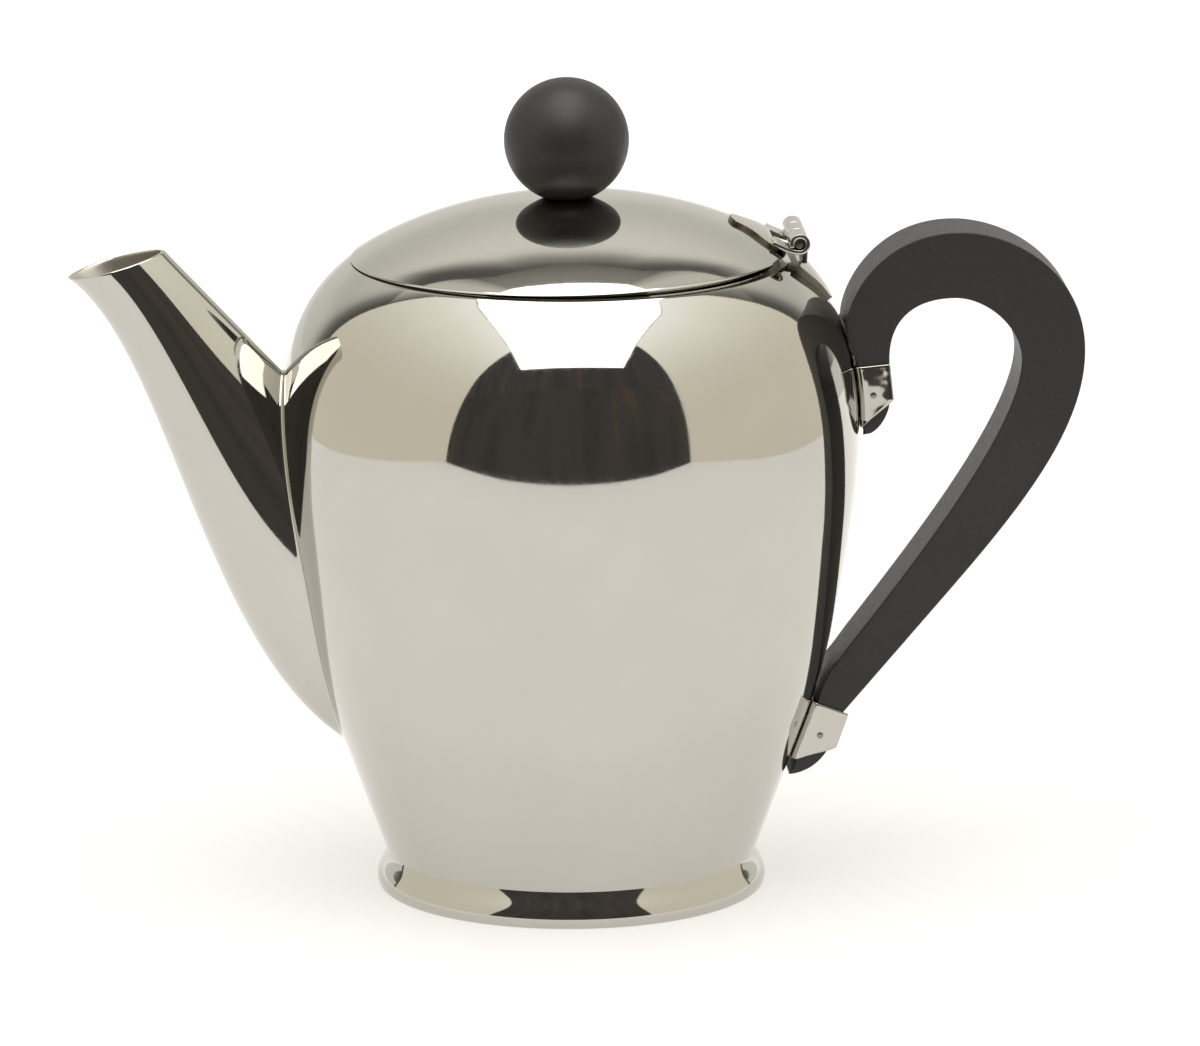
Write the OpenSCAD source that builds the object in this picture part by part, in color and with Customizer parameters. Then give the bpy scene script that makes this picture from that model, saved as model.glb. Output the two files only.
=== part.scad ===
// Polished steel teapot with a hinged dome lid, a ball knob and a black loop handle.
// The frame: origin at the centre of the foot's underside, +Z up, spout towards -X, handle
// towards +X. Every side outline is a list of [x, height] or [radius, height] in millimetres.

/* [Body] */
// Thickness of the drawn sheet
sheet = 0.8; // [0.6:0.1:1]
// Height at which the body stands on its foot ring
floor_z = 7.6; // [7:0.1:8.2]
// Height of the mouth rim
rim_z = 136.6; // [136:0.1:137]
// Outer radius at the mouth rim
rim_r = 46.7; // [46.2:0.1:47]
// Outer radius at the widest part
belly_r = 62; // [61.5:0.1:62.5]
// Height of the widest part
belly_z = 101; // [99:0.5:103]
// Lean of the straight lower cone from upright
cone_lean = 20.3; // [19.5:0.1:21]

/* [Foot and mouth] */
// Outer radius of the foot ring at its lip
foot_r = 41.9; // [41.5:0.1:42.3]
// Radius of the mouth inside the collar
mouth_r = 44.2; // [44:0.1:44.4]
// Depth of the collar that stiffens the mouth
collar_depth = 7.6; // [6:0.1:9]

/* [Spout] */
// Half width of the spout across its mouth
spout_half_mouth = 8; // [7:0.1:9]
// Half width of the spout where it meets the body
spout_half_root = 13.4; // [12:0.1:15]
// Squareness of the spout's section: 2 is an ellipse
spout_squareness = 1.8; // [1.6:0.1:2.4]
// How far the widest line lies towards the outer edge, as a share of the half length
spout_widest = 0.09; // [0:0.01:0.15]
// Diameter of one strainer hole
strainer_hole_d = 3; // [2:0.1:3.6]

/* [Lid] */
// Height of the dome's crown
crown_z = 149.1; // [148.6:0.1:149.8]
// Gap between the lid's edge and the mouth rim
seam_gap = 0.3; // [0.2:0.05:0.6]
// How far the lid stands up towards the hinge, in degrees
lid_tilt = 1; // [0.6:0.1:1.2]
// Outer radius of the flange that drops into the mouth
flange_r = 43; // [42.6:0.1:43.2]
// Depth of the flange below the rim
flange_depth = 5; // [3:0.1:5.5]

/* [Knob] */
// Radius of the ball
knob_r = 13.3; // [13:0.1:13.8]
// Height of the ball's centre above the dome's crown
knob_rise = 12.4; // [12:0.1:12.7]
// Radius of the knob's screw
screw_r = 2; // [1.5:0.1:2.5]

/* [Hinge] */
// Distance of the hinge's axis from the body's centre line
hinge_x = 48.5; // [48.2:0.1:49]
// Height of the hinge's axis
hinge_z = 141; // [140.8:0.1:141.6]
// Radius of the rolled knuckles
knuckle_r = 2.2; // [2.1:0.1:2.4]
// Length of the whole barrel
barrel_length = 22; // [20:0.5:24]
// Radius of the hinge pin
hinge_pin_r = 1.2; // [1:0.05:1.3]
// Thickness of the leaves
leaf_sheet = 0.9; // [0.8:0.05:1]
// How much further the body's leaf stands off the body at the rim
leaf_lift = 1; // [0.5:0.1:1.1]

/* [Handle] */
// Thickness of the handle from face to face
handle_t = 16.5; // [15:0.5:17]
// Radius of the cross pins
cross_pin_r = 0.8; // [0.6:0.05:1]
// Sheet thickness of the two brackets
bracket_sheet = 0.7; // [0.6:0.05:0.8]
// Place of the upper cross pin
upper_pin = [64.4, 107.7]; // [60:0.1:70]
// Place of the lower cross pin
lower_pin = [53.2, 33.2]; // [50:0.1:56]

/* [Hidden] */
$fn = 96;

steel = [0.80, 0.79, 0.76];
bright_steel = [0.86, 0.85, 0.82];
brass = [0.78, 0.64, 0.34];
black = [0.09, 0.09, 0.09];

play = 0.05;              // running clearance of a shaft in its hole
face_gap = 0.05;          // clearance between a pressed-in piece and the faces beside it
half_handle = handle_t / 2;
collar_r = mouth_r + sheet;

// Stations of the body's side: height, radius, and lean of the side from upright.
stations = [[37, 50.6, cone_lean],
            [57, 56.3, 11.6],
            [81, 60.5, 8.5],
            [belly_z, belly_r, 0],
            [121, 58.7, -21.1],
            [rim_z, rim_r, -52.7]];
body_steps = 34;

// The spout's side view: outer edge and upper edge, each from the mouth down to the root.
spout_outer = [[-106.7, 134], [-84.8, 118], [-78.9, 49.1], [-46.2, 30.6]];
spout_upper = [[-86.1, 139.6], [-57.1, 108.5]];
spout_rings = 16;
spout_sides = 32;

// A cubic Bezier curve from a to d, as steps + 1 points.
function bezier(a, b, c, d, steps) =
    [for (i = [0:steps]) let (t = i / steps, s = 1 - t)
        s * s * s * a + 3 * s * s * t * b + 3 * s * t * t * c + t * t * t * d];

// Radius at height z between two stations, matching both radii and both leans.
function between(low, high, z) =
    let (h = high[0] - low[0], u = (z - low[0]) / h, u2 = u * u, u3 = u2 * u)
    (2 * u3 - 3 * u2 + 1) * low[1] + (u3 - 2 * u2 + u) * h * tan(low[2])
    + (3 * u2 - 2 * u3) * high[1] + (u3 - u2) * h * tan(high[2]);

// Outer radius of the body at height z: a straight cone below the first station.
function body_r(z) =
    z <= stations[0][0]
    ? stations[0][1] + (z - stations[0][0]) * tan(stations[0][2])
    : [for (i = [0:len(stations) - 2])
        if (z >= stations[i][0] && z <= stations[i + 1][0] + 0.001)
            between(stations[i], stations[i + 1], z)][0];

// Lean of the body's side from upright at height z.
function body_lean(z) =
    let (top = min(z + 0.1, rim_z)) atan((body_r(top) - body_r(top - 0.2)) / 0.2);

// A point on the body's side, moved out by a distance square to the surface.
function body_point(z, out = 0) =
    [body_r(z) + out * cos(body_lean(z)), z - out * sin(body_lean(z))];

// The body's side between two heights, moved out by a distance.
function body_side(low, high, out = 0, steps = body_steps) =
    [for (i = [0:steps]) body_point(low + (high - low) * i / steps, out)];

// ---------------------------------------------------------------- body, foot and mouth

// The whole outside of the body as one solid, used to fit pieces against it.
module body_solid() {
    rotate_extrude()
        polygon(concat([[0, floor_z]], body_side(floor_z, rim_z), [[0, rim_z]]));
}

// Rows of strainer holes through the wall behind the spout.
module strainer_holes() {
    pitch = strainer_hole_d + 2.2;
    rows = 9;
    mid_z = 66;
    for (row = [0:rows - 1]) {
        count = row % 2 == 0 ? 3 : 2;
        for (i = [0:count - 1])
            translate([0, (i - (count - 1) / 2) * pitch, mid_z + (row - (rows - 1) / 2) * pitch])
                rotate([0, -90, 0])
                    cylinder(d = strainer_hole_d, h = belly_r, $fn = 32);
    }
}

module body() {
    inner_top = rim_z - 0.4;
    color(steel) difference() {
        rotate_extrude() polygon(concat(
            [[0, floor_z]],
            body_side(floor_z, rim_z),
            [[collar_r, rim_z], [collar_r, rim_z - sheet]],
            body_side(inner_top, floor_z + 2 * sheet, -sheet),
            [[body_r(floor_z) - 2 * sheet, floor_z + sheet], [0, floor_z + sheet]]));
        strainer_holes();
    }
}

module mouth_collar() {
    color(steel) rotate_extrude()
        polygon([[mouth_r, rim_z - collar_depth], [collar_r, rim_z - collar_depth],
                 [collar_r, rim_z], [mouth_r, rim_z]]);
}

module foot_ring() {
    lip = 1.8;
    top_r = body_r(floor_z) - 0.1;
    wall = 1.1;
    outside = bezier([top_r, floor_z], [top_r + 0.6, floor_z - 2.2],
                     [foot_r - 0.1, lip + 2], [foot_r, lip], 8);
    toe = bezier([foot_r, lip], [foot_r, 0.8], [foot_r - 0.2, 0], [foot_r - 0.7, 0], 5);
    color(steel) rotate_extrude() polygon(concat(
        outside, toe,
        [[foot_r - wall - 0.6, 0], [foot_r - wall - 0.1, lip], [top_r - wall, floor_z]]));
}

// ---------------------------------------------------------------------------- spout

// Half widths of the spout's rings: slow to widen at the mouth, then swelling to the root.
spout_halves = bezier(spout_half_mouth, spout_half_mouth + 0.7, spout_half_root + 0.4,
                      spout_half_root, spout_rings);

// One point of the spout's skin: line is a ring's [outer, upper] points, angle runs round the
// section, and inset moves the point in towards the middle of the channel.
function spout_point(line, ring_half, angle, inset) =
    let (outer = line[0], upper = line[1],
         middle = (outer + upper) / 2,
         reach = (outer - upper) / 2,
         length_in = norm(reach) - inset,
         half = ring_half - inset,
         power = 2 / spout_squareness,
         even = sign(cos(angle)) * pow(abs(cos(angle)), power),
         along = even + spout_widest * (1 - even * even),
         across = sign(sin(angle)) * pow(abs(sin(angle)), power),
         place = middle + reach / norm(reach) * length_in * along)
    [place[0], half * across, place[1]];

// The skin as one list of points, ring after ring.
function spout_skin(inset) =
    let (edge = bezier(spout_outer[0], spout_outer[1], spout_outer[2], spout_outer[3],
                       spout_rings))
    [for (ring = [0:spout_rings])
        let (upper = spout_upper[0] + (spout_upper[1] - spout_upper[0]) * ring / spout_rings)
        for (i = [0:spout_sides - 1])
            spout_point([edge[ring], upper], spout_halves[ring], 360 * i / spout_sides, inset)];

// The open tube: an outside skin, an inside skin, and a flat edge at each end.
module spout_tube() {
    n = spout_sides;
    inside = (spout_rings + 1) * n;
    last = spout_rings * n;
    polyhedron(
        points = concat(spout_skin(0), spout_skin(sheet)),
        faces = [for (i = [0:n - 1]) let (j = (i + 1) % n) each concat(
            [for (ring = [0:spout_rings - 1]) let (a = ring * n, b = a + n)
                each [[a + i, b + i, b + j], [a + i, b + j, a + j],
                      [inside + a + i, inside + b + j, inside + b + i],
                      [inside + a + i, inside + a + j, inside + b + j]]],
            [[i, j, inside + j], [i, inside + j, inside + i],
             [last + i, last + inside + j, last + j],
             [last + i, last + inside + i, last + inside + j]])],
        convexity = 6);
}

module spout() {
    color(steel) difference() {
        spout_tube();
        body_solid();
    }
}

// ------------------------------------------------------------------------------ lid

seat_r = 5.2;                       // flat seat of the knob on the crown
lid_edge_z = rim_z + seam_gap;      // underside of the lid's edge
edge_height = 0.1;
edge_lean = 33.3;                   // fall of the dome at its edge, from level
dome_steps = 20;

// The dome's side from the crown out to the edge, moved in by a distance.
function dome_side(inset) =
    let (edge = [rim_r, lid_edge_z + edge_height],
         fall = [cos(edge_lean), -sin(edge_lean)],
         curve = bezier([seat_r, crown_z], [seat_r + 14.3, crown_z], edge - 12.5 * fall, edge,
                        dome_steps))
    [for (i = [0:dome_steps])
        let (a = curve[max(i - 1, 0)], b = curve[min(i + 1, dome_steps)],
             way = (b - a) / norm(b - a))
        curve[i] + inset * [way[1], -way[0]]];

// Everything on the lid leans with it, about the rim on the spout's side.
module lid_pose() {
    translate([-rim_r, 0, lid_edge_z])
        rotate([0, -lid_tilt, 0])
            translate([rim_r, 0, -lid_edge_z])
                children();
}

// The dome as one filled solid, its outside moved in by a distance.
module dome_solid(inset) {
    skin = dome_side(inset);
    last = skin[dome_steps];
    low = lid_edge_z - 8;
    rotate_extrude()
        polygon(concat([[0, crown_z - inset]], skin, [[last[0], low], [0, low]]));
}

module lid() {
    inner = dome_side(sheet);
    clear_of_edge = lid_edge_z + 0.3;
    color(steel) lid_pose() difference() {
        rotate_extrude() polygon(concat(
            [[0, crown_z]], dome_side(0),
            [[rim_r, lid_edge_z], [rim_r - sheet / sin(edge_lean), lid_edge_z]],
            [for (i = [dome_steps:-1:0]) if (inner[i][1] > clear_of_edge) inner[i]],
            [[0, crown_z - sheet]]));
        translate([0, 0, crown_z - 5]) cylinder(r = screw_r + 0.1, h = 10, $fn = 48);
    }
}

module lid_flange() {
    color(steel) lid_pose() intersection() {
        rotate_extrude()
            polygon([[flange_r - sheet, rim_z - flange_depth], [flange_r, rim_z - flange_depth],
                     [flange_r, crown_z], [flange_r - sheet, crown_z]]);
        dome_solid(sheet);
    }
}

// ----------------------------------------------------------------- knob and its screw

insert_r = 3.6;
insert_length = 9;
washer_r = 5;
washer_t = 0.8;
head_r = 3.6;
head_height = 2.2;
under_crown = crown_z - sheet;      // underside of the dome at its middle

module knob() {
    color(black) lid_pose() difference() {
        translate([0, 0, crown_z + knob_rise]) sphere(r = knob_r);
        translate([-knob_r, -knob_r, crown_z - 5]) cube([2 * knob_r, 2 * knob_r, 5]);
        translate([0, 0, crown_z - 1]) cylinder(r = insert_r, h = insert_length + 1);
    }
}

module knob_insert() {
    color(brass) lid_pose() translate([0, 0, crown_z]) difference() {
        cylinder(r = insert_r, h = insert_length);
        translate([0, 0, -1]) cylinder(r = screw_r + play, h = insert_length);
    }
}

module knob_washer() {
    color(bright_steel) lid_pose() translate([0, 0, under_crown - washer_t]) difference() {
        cylinder(r = washer_r, h = washer_t);
        translate([0, 0, -1]) cylinder(r = screw_r + 0.1, h = washer_t + 2, $fn = 48);
    }
}

module knob_screw() {
    head_top = under_crown - washer_t;
    slot_w = 0.9;
    color(bright_steel) lid_pose() difference() {
        union() {
            translate([0, 0, head_top - head_height]) cylinder(r = head_r, h = head_height);
            translate([0, 0, head_top - 0.1])
                cylinder(r = screw_r, h = crown_z + insert_length - 2 - head_top);
        }
        translate([-head_r - 1, -slot_w / 2, head_top - head_height - 1])
            cube([2 * head_r + 2, slot_w, 2]);
    }
}

// ---------------------------------------------------------------------------- hinge

knuckle_gap = 0.3;
middle_half = barrel_length / 6;    // half length of the body's middle knuckle

// One rolled knuckle between two places along the axis.
module knuckle(from, to) {
    translate([hinge_x, from, hinge_z]) rotate([-90, 0, 0]) cylinder(r = knuckle_r, h = to - from);
}

module hinge_bore(from, to) {
    translate([hinge_x, from, hinge_z]) rotate([-90, 0, 0])
        cylinder(r = hinge_pin_r + play, h = to - from);
}

// A side outline in the XZ plane, given a width across, centred on y.
module side_plate(outline, width, y = 0) {
    translate([0, y + width / 2, 0]) rotate([90, 0, 0]) linear_extrude(height = width)
        polygon(outline);
}

// The tongue seen from above: straight beside the barrel, drawn in to a round tip.
function tongue(root_x, tip_x, root_half, tip_half) =
    let (side = bezier([root_x, root_half], [root_x + (tip_x - root_x) * 0.45, root_half],
                       [root_x + (tip_x - root_x) * 0.55, tip_half], [tip_x, tip_half * 0.85], 10),
         nose = (tip_x - root_x) / abs(tip_x - root_x) * 0.8)
    concat(side, [[tip_x + nose, tip_half * 0.4], [tip_x + nose, -tip_half * 0.4]],
           [for (i = [len(side) - 1:-1:0]) [side[i][0], -side[i][1]]]);

// The outer face of the body's leaf, from the rim down: it lifts off the body towards the rim.
function leaf_face(low) =
    [for (i = [0:10]) let (up = 1 - i / 10)
        body_point(low + (rim_z - low) * up, leaf_sheet + leaf_lift * up)];

module hinge_lid_leaf() {
    barrel_half = barrel_length / 2;
    lap_x = 43.6;
    ear = barrel_half - middle_half - knuckle_gap;
    ear_y = barrel_half - ear / 2;
    strap = [[lap_x - 1, hinge_z - 1.2], [lap_x - 0.4, hinge_z + 0.3], [hinge_x - 1.9, hinge_z - 0.9],
             [hinge_x, hinge_z - knuckle_r + leaf_sheet], [hinge_x, hinge_z - knuckle_r + 0.1]];
    color(bright_steel) difference() {
        union() {
            intersection() {
                lid_pose() dome_solid(-leaf_sheet);
                translate([0, 0, lid_edge_z]) linear_extrude(height = 20)
                    polygon(tongue(lap_x, 35.6, barrel_half, 4.8));
            }
            for (side = [-1, 1]) {
                side_plate(strap, ear, side * ear_y);
                knuckle(side * ear_y - ear / 2, side * ear_y + ear / 2);
            }
        }
        hinge_bore(-barrel_half - 1, barrel_half + 1);
        lid_pose() dome_solid(0);
    }
}

module hinge_body_leaf() {
    root_x = 48.3;
    tip_x = 55.4;
    low = 126;
    web = [[hinge_x - 0.7, hinge_z - 1.9], [hinge_x + 1.9, hinge_z - 0.9],
           body_point(134.6, 0.7), body_point(132.4, 0.3), body_point(135, 0.3)];
    color(bright_steel) difference() {
        union() {
            intersection() {
                rotate_extrude() polygon(concat(body_side(low, rim_z, 0, 10), leaf_face(low)));
                translate([0, 0, low - 1]) linear_extrude(height = 20)
                    polygon(tongue(root_x, tip_x, barrel_length / 2 - 0.5, 8.6));
            }
            side_plate(web, 2 * middle_half - 0.4);
            knuckle(-middle_half, middle_half);
        }
        hinge_bore(-barrel_length, barrel_length);
    }
}

module hinge_pin() {
    length = barrel_length - 1.6;
    color(bright_steel) translate([hinge_x, -length / 2, hinge_z]) rotate([-90, 0, 0])
        cylinder(r = hinge_pin_r, h = length);
}

// ------------------------------------------------------------- handle and its brackets

// A bracket is one folded strip: a back plate on the body and two cheeks beside the handle.
// Its cheek is drawn about the pin: first value away from the body, second up along it.
cheek_top = 6.4;
cheek_foot = -6.7;
cheek_edge = [[4.2, cheek_top], [4.3, -1.4], [3.3, -2.3], [-1, -5.2], [-2.9, cheek_foot]];
cheek_out = half_handle + face_gap + bracket_sheet;

module bracket(pin) {
    lean = body_lean(pin[1]);
    root = -(pin[0] - body_r(pin[1])) * cos(lean) - 0.4;
    cheek = concat([[root, cheek_top]], cheek_edge, [[root, cheek_foot]]);
    plate_half = cheek_out - bracket_sheet / 2;
    difference() {
        union() {
            for (side = [-1, 1])
                translate([pin[0], side * (cheek_out - bracket_sheet / 2), pin[1]])
                    rotate([0, lean, 0])
                        side_plate(cheek, bracket_sheet);
            intersection() {
                rotate_extrude() polygon(concat(
                    body_side(pin[1] - 10, pin[1] + 10, face_gap, 5),
                    body_side(pin[1] + 10, pin[1] - 10, face_gap + bracket_sheet, 5)));
                translate([pin[0], 0, pin[1]]) rotate([0, lean, 0])
                    translate([-10, -plate_half, cheek_foot + 0.1])
                        cube([20, 2 * plate_half, cheek_top - cheek_foot - 0.2]);
            }
        }
        cross_bore(pin);
    }
}

module cross_bore(pin) {
    translate([pin[0], -20, pin[1]]) rotate([-90, 0, 0])
        cylinder(r = cross_pin_r + 0.02, h = 40, $fn = 48);
}

module cross_pin(pin) {
    proud = 0.1;
    length = 2 * (cheek_out + proud);
    translate([pin[0], -length / 2, pin[1]]) rotate([-90, 0, 0])
        cylinder(r = cross_pin_r, h = length, $fn = 48);
}

module upper_bracket() { color(bright_steel) bracket(upper_pin); }

module lower_bracket() { color(bright_steel) bracket(lower_pin); }

module upper_cross_pin() { color(bright_steel) cross_pin(upper_pin); }

module lower_cross_pin() { color(bright_steel) cross_pin(lower_pin); }

// The handle's outline, clockwise from the tip of its upper end.
back_gap = bracket_sheet + 2 * face_gap;
handle_outline = concat(
    body_side(99, 114.6, back_gap, 5),
    body_side(116.4, 121.6, 0.35, 3),
    bezier([58.6, 122.4], [58.6, 128], [65.4, 142.7], [82.6, 142.7], 14),
    bezier([82.6, 142.7], [93.9, 142.7], [109.8, 134], [109.8, 116.4], 14),
    bezier([109.8, 116.4], [109.8, 96.1], [90, 75.3], [71.8, 53.8], 12),
    [[58.4, 38.2]],
    bezier([54.6, 29.3], [52.6, 26.2], [49.4, 24.6], [46.4, 24.5], 6),
    body_side(25.4, 44.6, back_gap, 4),
    bezier([55.6, 47.6], [57.2, 49.4], [58.6, 51.5], [60, 53.4], 3),
    bezier([60, 53.4], [73.5, 71], [96.2, 100.3], [96.2, 114.7], 12),
    bezier([96.2, 114.7], [96.2, 121.9], [88.6, 128.4], [81.8, 128.4], 10),
    bezier([81.8, 128.4], [72.8, 128.4], [67.9, 123.6], [67.9, 115.6], 10),
    bezier([67.9, 105.2], [67.3, 102], [65, 99.2], [63, 99], 5));

module handle() {
    color(black) difference() {
        side_plate(handle_outline, handle_t);
        cross_bore(upper_pin);
        cross_bore(lower_pin);
    }
}

body();
mouth_collar();
foot_ring();
spout();
lid();
lid_flange();
knob();
knob_insert();
knob_screw();
knob_washer();
hinge_lid_leaf();
hinge_body_leaf();
hinge_pin();
upper_bracket();
lower_bracket();
upper_cross_pin();
lower_cross_pin();
handle();
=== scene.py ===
import math
import bmesh
import bpy
import numpy as np
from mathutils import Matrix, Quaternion, Vector
from mathutils.geometry import delaunay_2d_cdt


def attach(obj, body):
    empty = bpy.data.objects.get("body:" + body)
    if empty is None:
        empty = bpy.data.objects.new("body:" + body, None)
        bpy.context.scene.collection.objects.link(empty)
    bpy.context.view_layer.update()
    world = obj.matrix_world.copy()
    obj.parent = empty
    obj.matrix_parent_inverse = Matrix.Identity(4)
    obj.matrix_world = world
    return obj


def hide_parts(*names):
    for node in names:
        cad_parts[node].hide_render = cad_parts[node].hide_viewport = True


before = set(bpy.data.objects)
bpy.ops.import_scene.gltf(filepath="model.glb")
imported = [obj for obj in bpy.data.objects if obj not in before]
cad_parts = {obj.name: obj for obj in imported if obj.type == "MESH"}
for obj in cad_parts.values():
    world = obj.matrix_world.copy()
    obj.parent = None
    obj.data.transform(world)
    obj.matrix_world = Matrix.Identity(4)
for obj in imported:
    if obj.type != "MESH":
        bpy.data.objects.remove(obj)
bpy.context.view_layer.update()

# The pot's lengths are in millimetres, in the CAD frame, and become metres in make_mesh().
# The stage's lengths, at the end, are in metres.
MM = 0.001

# ------------------------ the CAD's own sizes

SHEET = 0.8
FLOOR_Z, RIM_Z, RIM_R = 7.6, 136.6, 46.7
MOUTH_R, COLLAR_R, COLLAR_DEPTH = 44.2, 45.0, 7.6
FOOT_R, FOOT_LIP = 41.9, 1.8
# Heights, radii and leans in degrees up the body's side.
STATIONS = [(37, 50.6, 20.3), (57, 56.3, 11.6), (81, 60.5, 8.5),
            (101, 62, 0), (121, 58.7, -21.1), (136.6, 46.7, -52.7)]
CROWN_Z, SEAT_R, LID_EDGE_Z, EDGE_LEAN = 149.1, 5.2, 136.9, 33.3
LID_TILT = 1.0
FLANGE_R, FLANGE_DEPTH = 43.0, 5.0
KNOB_R, KNOB_RISE, INSERT_R, INSERT_LENGTH = 13.3, 12.4, 3.6, 9.0
HINGE_X, HINGE_Z, KNUCKLE_R, PIN_R, BORE_R = 48.5, 141.0, 2.2, 1.2, 1.25
BARREL, MIDDLE_HALF, KNUCKLE_GAP, LEAF = 22.0, 22.0 / 6, 0.3, 0.9
# How far the body's leaf stands off the body at the rim, and the height where it lies on it.
LEAF_LIFT, LEAF_LOW = 1.0, 126.0
HANDLE_HALF = 8.25
BRACKET_T, FACE_GAP = 0.7, 0.05
CHEEK_OUT = HANDLE_HALF + FACE_GAP + BRACKET_T
UPPER_PIN, LOWER_PIN = (64.4, 107.7), (53.2, 33.2)
# The spout's outer and upper lines in X and Z, and its half widths from mouth to root.
SPOUT_OUTER = [(-106.7, 134), (-84.8, 118), (-78.9, 49.1), (-46.2, 30.6)]
SPOUT_UPPER = [(-86.1, 139.6), (-57.1, 108.5)]
SPOUT_HALVES = [8.0, 8.7, 13.8, 13.4]
SPOUT_SQUARENESS, SPOUT_WIDEST = 1.8, 0.09

# ------------------------ curves and sides


def unit(vectors):
    """Vectors scaled to length 1."""
    return vectors / np.linalg.norm(vectors, axis=-1, keepdims=True)


def bezier_weights(t):
    """The weights of a cubic Bezier curve's four points at t."""
    s = 1 - t
    return s ** 3, 3 * s * s * t, 3 * s * t * t, t ** 3


def bezier(a, b, c, d, steps):
    """A cubic Bezier curve from a to d as steps + 1 points."""
    weights = bezier_weights(np.linspace(0, 1, steps + 1)[:, None])
    return sum(weight * np.array(point, float) for weight, point in zip(weights, (a, b, c, d)))


def body_side(z):
    """The body's outer radius and its slope dr/dz at heights z."""
    z = np.asarray(z, float)
    slope0 = math.tan(math.radians(STATIONS[0][2]))
    radius = STATIONS[0][1] + (z - STATIONS[0][0]) * slope0
    slope = np.full_like(radius, slope0)
    for (z0, r0, lean0), (z1, r1, lean1) in zip(STATIONS[:-1], STATIONS[1:]):
        h = z1 - z0
        u = (z - z0) / h
        m0, m1 = h * math.tan(math.radians(lean0)), h * math.tan(math.radians(lean1))
        r = ((2 * u ** 3 - 3 * u ** 2 + 1) * r0 + (u ** 3 - 2 * u ** 2 + u) * m0
             + (3 * u ** 2 - 2 * u ** 3) * r1 + (u ** 3 - u ** 2) * m1)
        d = ((6 * u ** 2 - 6 * u) * (r0 - r1) + (3 * u ** 2 - 4 * u + 1) * m0
             + (3 * u ** 2 - 2 * u) * m1) / h
        inside = (z >= z0) & (z <= z1 + 1e-6)
        radius = np.where(inside, r, radius)
        slope = np.where(inside, d, slope)
    return np.where(z > RIM_Z, RIM_R, radius), slope


def body_curve(low, high, out=0.0, steps=60):
    """The body's side from low to high as (radius, height) points, moved out by a distance."""
    z = np.linspace(low, high, steps + 1)
    r, slope = body_side(z)
    size = np.sqrt(1 + slope ** 2)
    return np.stack([r + out / size, z - out * slope / size], 1)


def dome_curve(inset=0.0, steps=150):
    """The lid's side from the knob's seat to the edge, moved in by a distance."""
    lean = math.radians(EDGE_LEAN)
    edge = np.array([RIM_R, LID_EDGE_Z + 0.1])
    fall = np.array([math.cos(lean), -math.sin(lean)])
    curve = bezier((SEAT_R, CROWN_Z), (SEAT_R + 14.3, CROWN_Z), edge - 12.5 * fall, edge, steps)
    way = unit(np.gradient(curve, axis=0))
    return curve + inset * np.stack([way[:, 1], -way[:, 0]], 1)


def soften(before, corner, after, size, steps=4):
    """A corner as a short curve that starts and ends the given distance away from it."""
    a, p, b = (np.array(q, float) for q in (before, corner, after))
    start, end = p + unit(a - p) * size, p + unit(b - p) * size
    t = np.linspace(0, 1, steps + 1)[:, None]
    return (1 - t) ** 2 * start + 2 * t * (1 - t) * p + t * t * end


def soften_all(points, sizes, steps=4):
    """A closed outline with each corner softened by its own size; 0 keeps the point."""
    out = []
    for i, (p, size) in enumerate(zip(points, sizes)):
        if size:
            out.extend(soften(points[i - 1], p, points[(i + 1) % len(points)], size, steps))
        else:
            out.append(np.array(p, float))
    return np.array(out)


def lid_pose(points):
    """Leans points with the lid, about the rim on the spout's side."""
    a = math.radians(LID_TILT)
    p = np.array(points, float)
    x, z = p[..., 0] + RIM_R, p[..., 2] - LID_EDGE_Z
    out = p.copy()
    out[..., 0] = x * math.cos(a) - z * math.sin(a) - RIM_R
    out[..., 2] = z * math.cos(a) + x * math.sin(a) + LID_EDGE_Z
    return out


# ------------------------ mesh building


def new_object(name, data):
    """A new object in the scene."""
    made = bpy.data.objects.new(name, data)
    bpy.context.scene.collection.objects.link(made)
    return made


def make_mesh(name, points, faces, sharp=38.0, second=(), weighted=False):
    """A closed piece from points in millimetres. The faces in second get its second material."""
    mesh = bpy.data.meshes.new(name)
    mesh.from_pydata([tuple(p) for p in np.asarray(points, float) * MM], [], faces)
    for index in second:
        mesh.polygons[index].material_index = 1
    bm = bmesh.new()
    bm.from_mesh(mesh)
    bmesh.ops.remove_doubles(bm, verts=bm.verts, dist=2e-7)
    bmesh.ops.recalc_face_normals(bm, faces=bm.faces)
    bm.to_mesh(mesh)
    bm.free()
    mesh.shade_smooth()
    mesh.set_sharp_from_angle(angle=math.radians(sharp))
    piece = new_object(name, mesh)
    if weighted:
        modifier = piece.modifiers.new("even_normals", "WEIGHTED_NORMAL")
        modifier.keep_sharp = True
        modifier.weight = 80
    return piece


def turned(profile, segments, around="z", pose=None):
    """Points and faces of a closed (radius, height) profile turned once around an axis."""
    points, rings, faces = [], [], []
    angle = np.linspace(0, 2 * math.pi, segments, endpoint=False)
    for r, h in profile:
        if r < 1e-6:
            rings.append([len(points)])
            points.append((0.0, 0.0, h))
        else:
            rings.append(list(range(len(points), len(points) + segments)))
            points.extend(zip(r * np.cos(angle), r * np.sin(angle), np.full(segments, h)))
    for a, b in zip(rings, rings[1:] + rings[:1]):
        if len(a) == 1 and len(b) == 1:
            continue
        for i in range(segments):
            j = (i + 1) % segments
            if len(a) == 1:
                faces.append((a[0], b[i], b[j]))
            elif len(b) == 1:
                faces.append((a[i], b[0], a[j]))
            else:
                faces.append((a[i], b[i], b[j], a[j]))
    points = np.array(points)
    if around == "y":
        points = points[:, [1, 2, 0]]
    if pose is not None:
        points = pose(points)
    return points, faces


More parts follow.
